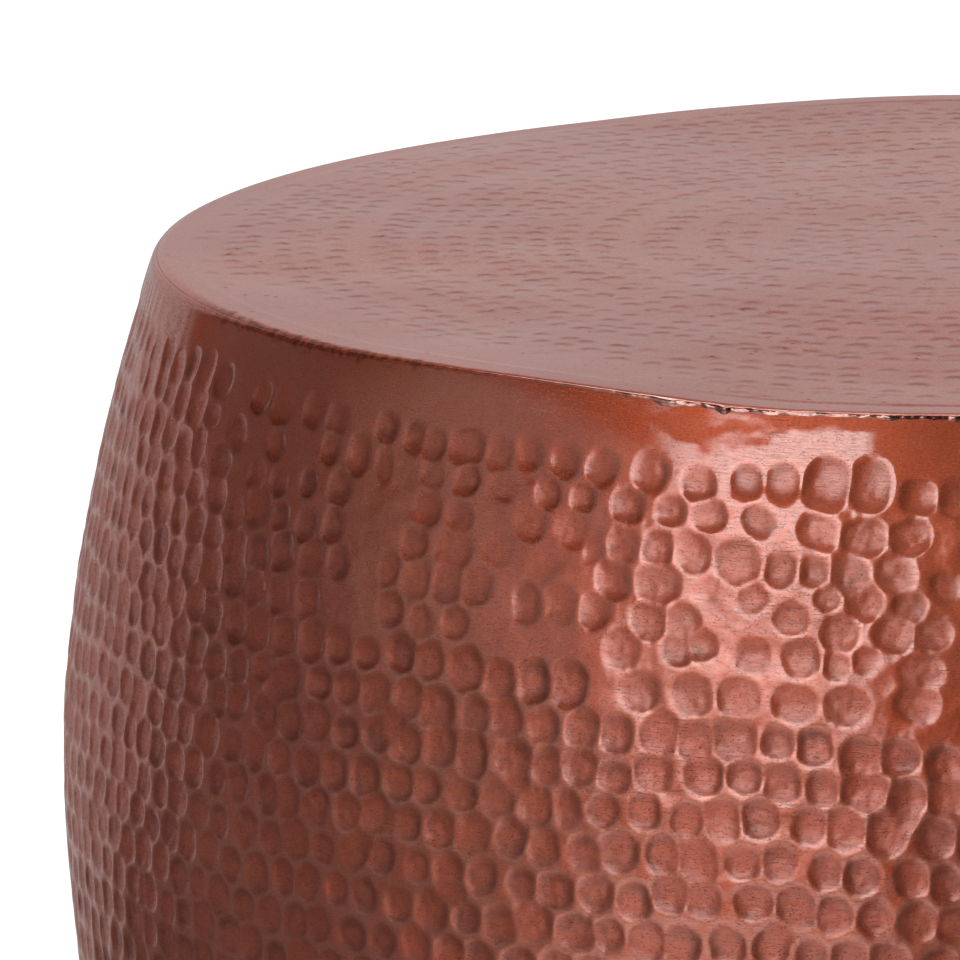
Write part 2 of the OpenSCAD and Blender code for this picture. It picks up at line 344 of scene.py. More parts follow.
# The blows at the front that stand apart: angle in degrees, mm below the rim's corner,
# half width, half height, and how hard.
FRONT_BLOWS = [
    (-39.3, 20.5, 4.4, 4.6, 1), (-27.7, 21.5, 4.5, 5.2, 1), (-32.5, 22.5, 6.2, 5.2, 1),
    (-36.8, 22.5, 4.2, 4.6, 1), (-29.9, 23, 4.6, 5.5, 1), (-25.1, 22.5, 4.8, 5.1, 1),
    (-35.2, 23.5, 4.5, 4.9, 1), (-22.5, 23, 4.9, 5.4, 1), (-19.2, 22.5, 5.4, 5.7, 1),
    (-10.7, 21.5, 5.1, 5.7, 1), (-7.9, 21.5, 6.4, 7.7, 1.35), (-12.9, 22, 4.8, 5.1, 1),
    (-5.2, 21.5, 5.7, 7.4, 1.3), (-16, 24, 4.9, 5.1, 1), (-2.2, 24.5, 5, 5, 1.2),
    (0, 24.5, 4, 5.4, 1), (-39, 31.5, 3.2, 5.9, 1), (-32.2, 32.5, 4.7, 4, 1),
    (-29.4, 32.5, 5.2, 4.6, 0.5), (-34.9, 32.5, 4.5, 4, 0.5), (-26.1, 32.5, 4.4, 4.5, 1),
    (-23.6, 32.5, 4.3, 3.9, 1), (-20.5, 33, 5.1, 4.7, 1.25), (-17.7, 33, 4.6, 4.4, 1.15),
    (-15.2, 33, 5.2, 4.7, 1), (-12, 33.5, 5.2, 4.4, 1), (-8.3, 35.5, 5.8, 5, 1.1),
    (-2.7, 36, 5.7, 5, 1.15), (-5.5, 37, 6.4, 5.4, 1.2), (-27, 41.5, 5.4, 5.5, 1),
    (-34.8, 42, 5.2, 5.8, 1), (-24.1, 42.5, 5.6, 5.1, 0.5), (-32.2, 43, 4.7, 4.9, 1),
    (-20.6, 44.5, 5.1, 5.4, 1), (-18.3, 44.5, 4.3, 5.1, 1), (-22.5, 45.5, 3.9, 5.1, 0.5),
    (-16.1, 44.5, 5.3, 6.4, 1), (-13.2, 46, 6.6, 6.7, 1), (-10.5, 47, 4.4, 5.4, 1),
    (-8.4, 47, 4.1, 4.7, 1), (-3.5, 47, 5.7, 6, 1), (-6.3, 47.5, 5.4, 6.4, 1),
    (-29.1, 50.5, 5.9, 4.9, 0.5), (-32.3, 52.5, 6.5, 6.1, 1), (-35.4, 52.5, 4.9, 5.2, 1),
    (-0.6, 51, 4.4, 4.7, 1), (-25.9, 54, 5.4, 5.5, 0.5), (-21, 54.5, 5.4, 6.1, 1),
    (-18.1, 54.5, 6.8, 6.1, 1), (-7.6, 55, 3.7, 3.7, 1), (-5.4, 55.5, 5.1, 5.7, 1),
    (-14.4, 56.5, 6.3, 6.1, 0.5), (-12.2, 56.5, 4.8, 4.4, 1), (-2.7, 57, 4.7, 4.7, 1),
    (-37.1, 61.5, 3.9, 5.5, 1), (-30.2, 62, 5.6, 5.5, 1), (-32.4, 62.5, 5.4, 6.1, 1),
    (-34.8, 63, 5.2, 6.1, 1), (-9.8, 61.5, 5.1, 4.7, 1), (-24.3, 64, 5.3, 6, 1),
    (-26.6, 65, 4.7, 6.1, 1), (-22, 64.5, 4.9, 5.4, 1), (-18.5, 65.5, 5.3, 5.7, 1),
    (-1.3, 64.5, 5.7, 5, 1), (-16.3, 65.5, 5.3, 6.1, 1), (-3.6, 64.5, 5.7, 5.4, 1),
    (-6.8, 65, 5.4, 5.7, 1), (-15.1, 71, 4.5, 4.4, 1), (-36.6, 73, 5, 5.2, 1),
    (-31.5, 73.5, 5, 4.6, 1), (-16.6, 73, 4.6, 4.7, 1), (-9.1, 73, 5.4, 5.7, 1),
    (-5.2, 73, 3.7, 4, 1), (-34, 75, 4.8, 4.9, 1), (-12, 73.5, 5.2, 5.4, 1),
    (-20.1, 74.5, 5.4, 5.8, 1), (-6.9, 74.5, 3.7, 4.7, 1), (-2, 76, 6.7, 5.4, 1),
    (-12.7, 85.5, 6.2, 6.1, 1), (-18.8, 86, 6.1, 5.8, 1), (-2.2, 85.5, 6.4, 5.7, 1),
    (-15.5, 86, 6, 6.1, 1), (-9.4, 86.5, 6.5, 5.7, 1), (-6.3, 86.5, 6.4, 5.7, 1),
]
ROW_KEEP = (0.94, 0.86, 0.92, 0.96)          # share of blows kept in the uppermost rows


def restrike(blow, shift, radius, half_w, half_h, depth):
    """A second, smaller blow, shifted by `shift` mm from the first."""
    return blow._replace(
        theta=blow.theta + shift[0] / radius, arc=blow.arc + shift[1], half_w=half_w,
        half_h=half_h, depth=depth, flat=blow.flat + 1.0, tilt_u=blow.tilt_v,
        tilt_v=blow.tilt_u)


def front_blows(rng):
    """The table's blows, as groups of one or two."""
    groups = []
    for degrees, arc, half_w, half_h, hard in FRONT_BLOWS:
        upper = 1 - float(smooth(38, 70, arc))
        depth = rng.uniform(0.44, 0.64) * hard
        power, flat, turn = rng.uniform(2.1, 2.7), rng.uniform(2.3, 3.3), rng.normal(0, 0.25)
        tilt_u, tilt_v = rng.normal(0, 0.15), rng.normal(-0.12 - 0.16 * upper, 0.12)
        twice, shift = rng.uniform(), rng.normal(0, 1, 2)
        blow = Blow(math.radians(degrees), arc, half_w * 1.12, half_h * 1.10, turn, depth,
                    power, flat, tilt_u, tilt_v)
        groups.append([blow])
        if twice > 0.7:
            groups[-1].append(restrike(blow, shift * 0.8, float(wall_radius(arc)),
                                       half_w * 0.82, half_h * 0.80, 0.5 * depth))
    return groups


def in_front_area(theta, arc):
    """Whether a place belongs to the table of front blows."""
    degrees = math.degrees(theta)
    return -41.3 < degrees < 1.9 and arc < (92.0 if degrees > -21 else 79.0)


def row_blows(rng):
    """Rows around the wall, sparse under the rim and close and overlapping further down."""
    groups = []
    row_arc, row = 20.5, 0
    phase = [rng.uniform(0, 2 * PI) for _ in range(3)]
    while row_arc < WALL_LENGTH - 14:
        radius = float(wall_radius(row_arc))
        dense = float(smooth(36, 84, row_arc))
        pitch = 12.5 - 0.1 * dense
        count = int(round(2 * PI * radius / pitch))
        drift = rng.uniform(0, 1)
        phase = [p + rng.normal(0, 0.25) for p in phase]
        keep = ROW_KEEP[row] if row < len(ROW_KEEP) else 1.0
        for i in range(count):
            theta = (i + drift + 0.5 * (row % 2)) / count * 2 * PI - PI
            gap = rng.uniform()
            jitter = rng.normal(0, 1, 2)
            sway = (1.9 * math.sin(3 * theta + phase[0]) + 1.3 * math.sin(7 * theta + phase[1])
                    + 0.8 * math.sin(13 * theta + phase[2]))
            size = rng.normal(1, 0.085)
            half_w = (5.3 + 0.65 * dense) * size * (1 + 0.05 * rng.normal())
            half_h = (5.8 + 0.50 * dense) * size * (1 + 0.07 * rng.normal())
            turn = rng.normal(0, 0.30)
            depth = rng.uniform(0.56, 0.82) + 0.06 * dense
            power = rng.uniform(2.2, 2.9) - 0.2 * dense
            flat = rng.uniform(2.3, 3.3) + 0.6 * dense
            tilt_u = rng.normal(0, 0.16)
            tilt_v = -0.24 + rng.normal(0, 0.14) + 0.18 * dense
            twice, shift = rng.uniform(), rng.normal(0, 1, 2)
            if gap > keep:
                continue
            if row < 3 and twice < 0.10:
                half_h *= 1.3
            theta += jitter[0] * (1.15 - 0.25 * dense) / radius
            arc = row_arc + sway + jitter[1] * (1.2 - 0.4 * dense)
            if in_front_area(theta, arc):
                continue
            blow = Blow(theta, arc, half_w, half_h, turn, depth, power, flat, tilt_u, tilt_v)
            groups.append([blow])
            if twice > 0.70 + 0.14 * dense:
                groups[-1].append(restrike(blow, shift * 0.9, radius, half_w * 0.76,
                                           half_h * 0.76, 0.55 * depth + 0.03))
        row_arc += 10.7 + 1.65 * dense + 0.25 * rng.normal()
        row += 1
    return groups


def stray_blow(rng):
    arc = rng.uniform(86, WALL_LENGTH - 16)
    size = rng.normal(0.95, 0.12)
    return Blow(theta=rng.uniform(-PI, PI), arc=arc, half_w=6.1 * size,
                half_h=6.3 * size * (1 + 0.12 * rng.normal()), turn=rng.normal(0, 0.5),
                depth=rng.uniform(0.5, 0.8), power=rng.uniform(2.0, 2.5),
                flat=rng.uniform(2.0, 3.0), tilt_u=rng.normal(0, 0.2),
                tilt_v=rng.normal(-0.05, 0.2))


def wall_blows():
    """Every blow on the wall, the groups in shuffled order."""
    rng = np.random.default_rng(4207)
    groups = front_blows(rng) + row_blows(rng)
    groups += [[stray_blow(rng)] for _ in range(int(0.045 * len(groups)))]
    return [blow for i in rng.permutation(len(groups)) for blow in groups[i]]


# ---------------------------------------------------------------- wall
SEAM_HALF = 1.2                              # half width of the wall's vertical gap at the back


def make_wall():
    """The hammered wall, open at the back, and the field its blows were struck into."""
    coarser = 1.0
    theta = column_angles(0.86 * coarser, 1.3 * coarser, start=-108, end=14)
    arc = row_arcs([(8, 0.6 * coarser), (192, 0.88 * coarser),
                    (WALL_LENGTH - 200, 1.3 * coarser)])
    shape = rows, columns = len(arc), len(theta)
    radius = wall_radius(arc)
    field = HammerField(theta, arc, radius)
    for blow in wall_blows():
        field.strike(blow)
        if abs(blow.theta) > PI - 0.06:
            # carried over to the other side of the gap
            field.strike(blow._replace(theta=blow.theta - math.copysign(2 * PI, blow.theta)))
    T, A = np.meshgrid(theta, arc)
    narrowed = T * ((PI - SEAM_HALF / radius) / PI)[:, None]
    r, z, lean = skin(narrowed, A)
    base = place(narrowed, r, z)
    normal = normal_of(narrowed, lean)

    left = window(T, np.radians((-108, -98)), np.radians((-70, -56)))
    crisp = soften(field.height, theta, arc, 0.62)
    crisp = crisp + (0.84 * soften(field.height, theta, arc, 1.15) - crisp) * left
    points = base.reshape(-1, 3)

    def ripples(count, lengths, seed):
        return waves(points, count, lengths, seed).reshape(shape)

    plain = 1 - smooth(12, 34, A)            # the unstruck band under the rim
    big = 0.30 * ripples(26, (60, 170), seed=11)
    big += 0.10 * ripples(30, (22, 46), seed=12) * (1 - 0.85 * plain)
    struck = np.clip(-field.height / 0.6, 0, 1)
    fine = 0.020 * ripples(44, (2.4, 6.5), seed=13) * (0.8 + 0.9 * struck)
    fine += 0.045 * ripples(36, (7.0, 16.0), seed=14)
    big *= window(A, (3, 26), (WALL_LENGTH - 9, WALL_LENGTH - 1))
    sink = 0.45 * window(A, (0, 120), (WALL_LENGTH - 60, WALL_LENGTH - 1))
    # small upright folds under the rim at the left
    folds = 0.09 * np.sin(T * BELLY_R / 1.55 + 2.2 * np.sin(T * 23))
    folds *= window(A, (2, 9), (18, 40))
    folds *= window(T, np.radians((-112, -96)), np.radians((-76, -62)))
    relief = crisp + big - sink + fine * smooth(1, 6, A) * (1 - 0.92 * plain) + folds
    outer = base + normal * relief[..., None]
    # the inner face takes every third line, with the blows softened through the sheet
    back = soften(field.height, theta, arc, 1.5)
    inner = (base + normal * (back + big - sink - WALL_T)[..., None])[::3, ::3]

    outer_index = np.arange(rows * columns).reshape(shape)
    inner_index = np.arange(inner[..., 0].size).reshape(inner.shape[:2]) + rows * columns
    verts = np.concatenate([outer.reshape(-1, 3), inner.reshape(-1, 3)])
    ob = build("barrel_wall_hammered", verts, [
        grid_quads(outer_index)[:, ::-1],
        grid_quads(inner_index),
        stitch(outer_index[0], inner_index[0]),
        stitch(outer_index[-1], inner_index[-1], flip=True),
        stitch(outer_index[:, 0], inner_index[:, 0], flip=True),
        stitch(outer_index[:, -1], inner_index[:, -1])])
    sharpen(ob)
    # how much of each point is a ridge between blows, a struck floor, a slope or a floor's foot
    lap = crisp - soften(crisp, theta, arc, 1.6)
    rise = np.gradient(crisp, arc, axis=0)
    slope = np.hypot(rise, np.gradient(crisp, theta, axis=1) / BELLY_R)
    attribute(ob, "ridge", np.clip(lap / 0.16, -1, 1))
    attribute(ob, "depth", np.clip(-crisp / 0.8, 0, 1))
    # the lean and foot masks carry painted shade on the blows' slopes and lower walls
    attribute(ob, "lean", np.clip((slope - 0.05) / 0.33, 0, 1))
    attribute(ob, "foot", np.clip(rise / 0.36, 0, 1))
    attribute(ob, "rim_shade", rim_shade_line(T, A))
    for name, values in (("along", T * BELLY_R), ("down", A)):
        attribute(ob, name, np.concatenate([values.reshape(-1), values[::3, ::3].reshape(-1)]))
    return ob, field


# ---------------------------------------------------------------- top
TOP_FLAT_FROM = 11.0                         # mm in from the rim where the corner is left behind


def peen_field(cell):
    """Shallow round blows in rings, in a square field of `cell` mm; also its middle index."""
    middle = int(RIM_R / cell) + 12
    size = 2 * middle + 1
    reach = int(6.2 / cell) + 1
    rng = np.random.default_rng(911)
    height = np.zeros((size, size))
    pitch = 9.2
    ring_r = 6.0
    while ring_r < RIM_R - 7:
        count = max(5, int(round(2 * PI * ring_r / 10.2)))
        start = rng.uniform(0, 2 * PI)
        phase = rng.uniform(0, 2 * PI, 2)[0]
        for i in range(count):
            theta = start + 2 * PI * i / count + rng.normal(0, 0.10) * 9.0 / ring_r
            # the row spirals outwards and wanders a little
            r = ring_r + pitch * i / count + 0.8 * math.sin(5 * theta + phase)
            r += rng.normal(0, 0.7)
            side = math.degrees(math.atan2(math.sin(theta), math.cos(theta)))
            # sparser and shallower near the rim, most of all at the front left
            quiet = smooth(RIM_R - 46, RIM_R - 24, r) * window(side, (-78, -64), (-24, -10))
            quiet = max(quiet, 0.55 * smooth(RIM_R - 26, RIM_R - 12, r))
            if r > RIM_R - 8 or rng.uniform() < 0.06 + 0.8 * quiet:
                rng.uniform(size=5)          # a skipped blow still uses up its draws
                continue
            half_w, half_h = rng.uniform(3.1, 4.5), rng.uniform(2.6, 3.9)
            depth = rng.uniform(0.11, 0.24) * (1 - 0.70 * quiet)
            tilt_x, tilt_y = rng.normal(0, 0.18, 2)
            cx, cy = r * math.sin(theta), -r * math.cos(theta)
            ci, cj = int(round(cx / cell)) + middle, int(round(cy / cell)) + middle
            i0, i1 = max(ci - reach, 0), min(ci + reach + 1, size)
            j0, j1 = max(cj - reach, 0), min(cj + reach + 1, size)
            U, V = np.meshgrid((np.arange(i0, i1) - middle) * cell - cx,
                               (np.arange(j0, j1) - middle) * cell - cy)
            cos, sin = math.cos(theta), math.sin(theta)
            x, y = (U * cos + V * sin) / half_w, (-U * sin + V * cos) / half_h
            bowl = 1 - smooth(0, 1, (np.hypot(x, y) - 0.55) / 0.45)
            patch = height[j0:j1, i0:i1]
            np.minimum(patch, -depth * bowl * (1 - tilt_x * x - tilt_y * y), out=patch)
        ring_r += pitch
    return height, middle


def read_field(field, column, row):
    """Reads a square field between its cells."""
    i, j = column.astype(int), row.astype(int)
    u, v = column - i, row - j
    return ((field[j, i] * (1 - u) + field[j, i + 1] * u) * (1 - v)
            + (field[j + 1, i] * (1 - u) + field[j + 1, i + 1] * u) * v)


def ring_band(outer, outer_count, inner, inner_count):
    """Faces between two rings by first vertex and count; the inner has as many or half."""
    i = np.arange(inner_count)
    j = (i + 1) % inner_count
    if outer_count == inner_count:
        return np.stack([outer + i, outer + j, inner + j, inner + i], -1)
    o0, o1, o2 = outer + 2 * i, outer + 2 * i + 1, outer + (2 * i + 2) % outer_count
    corners = ((o0, o1, inner + i), (o1, inner + j, inner + i), (o1, o2, inner + j))
    return np.concatenate([np.stack(c, -1) for c in corners])


def disc_faces(starts, counts, apex, up):
    """Lists of quad and triangle arrays over rings from the rim to the apex vertex."""
    quads, tris = [], []
    for k in range(len(counts) - 1):
        band = ring_band(starts[k], counts[k], starts[k + 1], counts[k + 1])
        kind = quads if band.shape[1] == 4 else tris
        kind.append(band if up else band[:, ::-1])
    last = starts[-1] + np.arange(counts[-1])
    ahead = np.roll(last, -1)
    pair = [last, ahead] if up else [ahead, last]
    tris.append(np.stack(pair + [np.full(counts[-1], apex)], -1))
    return quads, tris


def make_top():
    """The peened top sheet, in rings whose column count halves towards the middle."""
    coarser = 1.0
    rim_count = int(round(2 * PI * RIM_R / (1.1 * coarser) / 96)) * 96
    spacing = 1.05 * coarser
    insets = list(np.arange(0.10, 9.5, 0.62 * coarser))
    insets += list(np.arange(9.5 + spacing, RIM_R - 2.0, spacing))
    rings, counts, level = [], [], 0
    for inset in insets:
        while level < 5 and RIM_R - inset < RIM_R * 0.5 ** (level + 1):
            level += 1
        counts.append(rim_count >> level)
        theta = np.linspace(-PI, PI, counts[-1], endpoint=False)
        r, z, lean = skin(theta, -min(inset, TOP_FLAT_FROM))
        r = r * (1 - max(inset - TOP_FLAT_FROM, 0) / (RIM_R - TOP_FLAT_FROM))
        rings.append(np.stack([theta, r, z, lean, np.full(len(theta), inset)]))
    theta, r, z, lean, inset = np.concatenate(rings, axis=1)
    # the rim's rise dies away inwards and the sheet sinks a little just inside it
    share = np.clip(r / RIM_R, 0, 1)
    z = np.where(inset > TOP_FLAT_FROM, RIM_Z + (z - RIM_Z) * share ** 2.6, z)
    z = z + (0.9 * (1 - share ** 2) - 0.9) * smooth(0, 60, inset)
    x, y = r * np.sin(theta), -r * np.cos(theta)
    flat = np.stack([x, y, 0 * x], -1)

    cell = 0.9 * coarser
    field, middle = peen_field(cell)
    column = np.clip(x / cell + middle, 0, 2 * middle + 1 - 1.001)
    row = np.clip(y / cell + middle, 0, 2 * middle + 1 - 1.001)
    # steepness of the peen marks, the mask for the painted shade on their lips
    lip_shade = read_field(np.hypot(*np.gradient(field, cell)), column, row)
    peen = read_field(field, column, row)
    wide = (0.42 * waves(flat, count=22, lengths=(110, 300), seed=21)
            + 0.16 * waves(flat, count=30, lengths=(38, 90), seed=22)
            + 0.018 * waves(flat, count=40, lengths=(9, 20), seed=23))
    # one broad shallow dish near the front left rim
    dish_x, dish_y = (x + 165) / 70, (y + 150) / 42
    wide = wide - 0.7 * np.exp(-(dish_x * dish_x + dish_y * dish_y))
    wide = wide * smooth(2, 46, inset)
    off_rim = smooth(3.5, 10, inset)
    fine = 0.006 * waves(flat, count=40, lengths=(2.4, 6.0), seed=24)
    normal = normal_of(theta, lean)
    base = place(theta, r, z)
    upper = base + normal * ((peen + wide) * off_rim + fine)[:, None]
    under = base + normal * ((peen * 0.6 + wide) * off_rim)[:, None] - normal * TOP_T
    apex = np.array([[0, 0, float(np.mean(z[-counts[-1]:]))]])

    starts = np.cumsum([0] + counts)
    # the underside uses some of the rings, with the same columns
    under_rings = [0, 2, 5, 9] + list(range(14, len(counts), 5))
    under_counts = [counts[k] for k in under_rings]
    under_starts = len(upper) + 1 + np.cumsum([0] + under_counts)
    quads, tris = disc_faces(starts[:-1], counts, len(upper), up=True)
    more_quads, more_tris = disc_faces(under_starts[:-1], under_counts, under_starts[-1],
                                       up=False)
    i = np.arange(counts[0])
    j = (i + 1) % counts[0]
    edge = np.stack([i, under_starts[0] + i, under_starts[0] + j, j], -1)
    under_parts = [under[starts[k]:starts[k + 1]] for k in under_rings]
    verts = np.concatenate([upper, apex] + under_parts + [apex - [[0, 0, TOP_T]]])
    ob = build("top_sheet_peened", verts, [np.concatenate(quads + more_quads + [edge]),
                                           np.concatenate(tris + more_tris)])
    sharpen(ob)
    attribute(ob, "peen", np.clip(-peen / 0.24, 0, 1))
    attribute(ob, "lip_shade", np.clip(lip_shade / 0.17, 0, 1) * off_rim)
    attribute(ob, "rim_shade", rim_shade_line(theta, inset))
    attribute(ob, "inset", inset, rest=60.0)
    return ob


# ---------------------------------------------------------------- weld runs
# How proud and lumpy the rim's run is, by (degrees, share)
bead_loudness = around([
    (-180, 0.30), (-120, 0.04), (-75, 0.02), (-52, 0.04), (-40, 0.12), (-30, 0.22),
    (-22, 0.42), (-17.5, 0.95), (-11, 1.0), (-7, 0.62), (-3, 0.85), (6, 0.9), (20, 0.6),
    (60, 0.35), (95, 0.5), (140, 0.35)])


def make_rim_bead():
    """The weld run under the top sheet's edge: flush at the left, lumpy at the front."""
    coarser = 1.0
    theta = column_angles(0.42 * coarser, 1.0 * coarser, start=-70, end=14)[:-1]
    loud = bead_loudness(theta)
    circle = np.stack([RIM_R * np.sin(theta), RIM_R * np.cos(theta)], -1)
    lumps = np.clip(waves(circle, count=40, lengths=(5.0, 14.0), seed=31) * 0.6 + 0.35, 0, 1.8)
    slow = waves(circle, count=24, lengths=(18, 60), seed=32)
    crown = 0.02 + loud * (0.12 + 0.40 * lumps * smooth(-0.9, 0.6, slow))
    near = 0.02 + 0.08 * loud * waves(circle, count=20, lengths=(8, 24), seed=36)
    far = 0.75 + loud * (1.25 + 0.8 * lumps * smooth(-0.6, 0.9, slow)
                         + 0.25 * waves(circle, count=30, lengths=(5, 14), seed=33))
    rows = []
    for x in np.linspace(0, 1, 12):
        arc = near + (far - near) * x
        # a fine groove beside the sheet's edge, the crown below it, then a feathered toe
        groove = -0.26 * loud * np.exp(-((x - 0.06) / 0.10) ** 2)
        height = (0.03 + groove + crown * np.sin(PI * x ** 0.8) ** 0.9
                  - 0.10 * (x > 0.97) - 0.04 * (x < 0.02))
        points = np.concatenate([circle, arc[:, None] * 2.2], -1)
        ripple = 0.03 * loud * waves(points, count=30, lengths=(1.5, 3.6), seed=34)
        rows.append(off_skin(theta, arc, height + ripple * math.sin(PI * x)))
    for x in np.linspace(1, 0, 5):
        arc = near + (far - near) * (0.06 + 0.88 * x)
        rows.append(off_skin(theta, arc, -0.8 - 0.3 * math.sin(PI * x)))
    index = np.arange(len(rows) * len(theta)).reshape(len(rows), -1)
    below = np.roll(index, -1, 0)
    corners = [index, below, np.roll(below, -1, 1), np.roll(index, -1, 1)]
    ob = build("rim_weld_bead_run", np.concatenate(rows), [np.stack(corners, -1).reshape(-1, 4)])
    attribute(ob, "loud", np.tile(loud, len(rows)))
    attribute(ob, "rim_shade", np.tile(rim_shade_line(theta, 0.4), len(rows)))
    return ob


def make_seam(field):
    """The wall's vertical weld at the back: almost flush outside, a rippled crown inside."""
    arc = row_arcs([(WALL_LENGTH, 1.3)])
    radius = wall_radius(arc)
    across = np.linspace(-1, 1, 9)
    wall_height = np.interp(arc, field.arc, field.height[:, 0])
    line = np.stack([arc, 0 * arc], -1)
    ripple = (0.07 * np.sin(arc * 2 * PI / 2.9 + 0.8 * np.sin(arc * 0.31))
              + 0.06 * waves(line, count=24, lengths=(4, 16), seed=41))
    half_width = 2.0 + 0.25 * waves(line, count=24, lengths=(8, 30), seed=42)
    inner_half_width = 2.7
    ends = np.minimum(smooth(0, 3, arc), 1 - smooth(WALL_LENGTH - 3, WALL_LENGTH, arc))
    inner_span = window(arc, (10, 13), (WALL_LENGTH - 14, WALL_LENGTH - 11))
    rows = []
    for x in across:
        crown = (0.34 + ripple) * (1 - abs(x) ** 2.4) * (0.5 + 0.5 * ends)
        rows.append(off_skin(PI + x * half_width / radius, arc,
                             wall_height * 0.9 - 0.12 + crown))
    for x in across[::-1]:
        crown = 0.9 * (1 - x * x) * inner_span + ripple * (1 - x * x) * ends
        rows.append(off_skin(PI + x * inner_half_width / radius, arc,
                             -WALL_T - 0.02 - crown))
    count = len(rows)
    index = np.arange(count * len(arc)).reshape(count, -1)
    ahead = np.roll(index, -1, 0)
    corners = [index[:, :-1], index[:, 1:], ahead[:, 1:], ahead[:, :-1]]
    caps = []
    for column, flip in ((0, False), (-1, True)):
        for i in range(len(across) - 1):
            quad = index[[i, i + 1, count - 2 - i, count - 1 - i], column]
            caps.append(quad[::-1] if flip else quad)
    ob = build("wall_seam_weld_run", np.concatenate(rows),
               [np.stack(corners, -1).reshape(-1, 4), np.array(caps)])
    attribute(ob, "loud", np.full(index.size, 0.35))
    sharpen(ob, 50)
    return ob


# ---------------------------------------------------------------- node trees
class Nodes:
    """Short hands for one node tree. Values may be numbers, colours or sockets."""

    def __init__(self, owner, output="ShaderNodeOutputMaterial"):
        owner.use_nodes = True
        self.owner, self.tree = owner, owner.node_tree
        self.tree.nodes.clear()
        self.out = self.add(output)

    def put(self, socket, value):
        if isinstance(value, bpy.types.NodeSocket):
            self.tree.links.new(value, socket)
        elif socket.type == "RGBA":
            socket.default_value = (*value, 1)
        else:
            socket.default_value = value

    def add(self, kind, inputs=None, **settings):
        node = self.tree.nodes.new(kind)
        for name, value in settings.items():
            setattr(node, name, value)
        for key, value in (inputs or {}).items():
            self.put(node.inputs[key], value)
        return node

    def math(self, op, *values, clamp=False):
        inputs = dict(enumerate(values))
        return self.add("ShaderNodeMath", inputs, operation=op, use_clamp=clamp).outputs[0]

    def times(self, a, b, clamp=False):
        return self.math("MULTIPLY", a, b, clamp=clamp)

    def plus(self, a, b):
        return self.math("ADD", a, b)

    def minus(self, a, b):
        return self.math("SUBTRACT", a, b)

    def most(self, a, b):
        return self.math("MAXIMUM", a, b)

    def less(self, mask, amount):
        """1, lowered by `amount` where the mask is full."""
        return self.minus(1.0, self.times(mask, amount))

    def dim(self, value, mask, amount):
        return self.times(value, self.less(mask, amount))

    def span(self, value, low, high, to=(0.0, 1.0)):
        """Eases from to[0] to to[1] as the value goes from low to high."""
        inputs = {"Value": value, "From Min": low, "From Max": high, "To Min": to[0],
                  "To Max": to[1]}
        return self.add("ShaderNodeMapRange", inputs,
                        interpolation_type="SMOOTHSTEP").outputs[0]

    def band(self, value, off_low, full_low, full_high, off_high):
        return self.times(self.span(value, off_low, full_low),
                          self.span(value, full_high, off_high, to=(1.0, 0.0)))

    def bearing(self, left, front):
        """Degrees around Z from the front, positive to the left."""
        return self.times(self.math("ARCTAN2", left, front), 180 / PI)

    def attr(self, name):
        return self.add("ShaderNodeAttribute", attribute_name=name).outputs["Fac"]

    def coords(self, scale=(1.0, 1.0, 1.0)):
        source = self.add("ShaderNodeTexCoord").outputs["Object"]
        return self.add("ShaderNodeMapping", {"Vector": source, "Scale": scale}).outputs[0]

    def noise(self, vector, scale=1.0, detail=3.0, rough=0.55, distortion=0.0):
        inputs = {"Vector": vector, "Scale": scale, "Detail": detail, "Roughness": rough,
                  "Distortion": distortion}
        return self.add("ShaderNodeTexNoise", inputs).outputs["Fac"]

    def cells(self, vector, scale=1.0, out="Distance"):
        inputs = {"Vector": vector, "Scale": scale}
        return self.add("ShaderNodeTexVoronoi", inputs).outputs[out]

    def ramp(self, fac, stops):
        node = self.add("ShaderNodeValToRGB", {0: fac})
        elements = node.color_ramp.elements
        while len(elements) > 1:
            elements.remove(elements[-1])
        for i, (position, colour) in enumerate(stops):
            element = elements[0] if i == 0 else elements.new(position)
            element.position = position
            element.color = (*colour, 1)
        return node.outputs[0]

    def mix(self, fac, a, b):
        return self.add("ShaderNodeMix", {0: fac, 6: a, 7: b}, data_type="RGBA").outputs[2]

    def stain(self, tint, colour, mask, amount):
        """The tint, taken towards the colour by `amount` where the mask is full."""
        return self.mix(self.times(mask, amount), tint, colour)

    def bump(self, height, strength, distance, **normal):
        inputs = {"Strength": strength, "Distance": distance, "Height": height, **normal}
        return self.add("ShaderNodeBump", inputs).outputs[0]

    def surface(self, **inputs):
        inputs = {name.replace("_", " "): value for name, value in inputs.items()}
        self.put(self.out.inputs[0], self.add("ShaderNodeBsdfPrincipled", inputs).outputs[0])
        return self.owner


def material(name):
    return Nodes(bpy.data.materials.new(name))


# ---------------------------------------------------------------- copper
COPPER = (0.960, 0.215, 0.100)
COPPER_DEEP = (0.840, 0.150, 0.062)
COPPER_PALE = (0.985, 0.360, 0.230)
COPPER_FLOOR = (0.640, 0.124, 0.052)
# painted shade tints for the blows' slopes and lower walls
COPPER_SLOPE_SHADE = (0.34, 0.066, 0.034)
COPPER_FOOT_SHADE = (0.20, 0.040, 0.022)
COPPER_GRAIN = (0.30, 0.060, 0.032)
# painted shade tints: the lips of the peen marks and the line along the rim
LIP_SHADE = (0.20, 0.075, 0.060)
RIM_SHADE = (0.17, 0.042, 0.026)
SOOT = (0.050, 0.016, 0.012)
EDGE_WALL = (0.84, 0.47, 0.40)               # reflection tints at grazing angles
EDGE_TOP = (0.82, 0.56, 0.56)
ROUGH = 0.35
METALLIC = 0.97
COAT_ROUGH = 0.11                            # the lacquer's roughness and refraction
COAT_IOR = 2.12


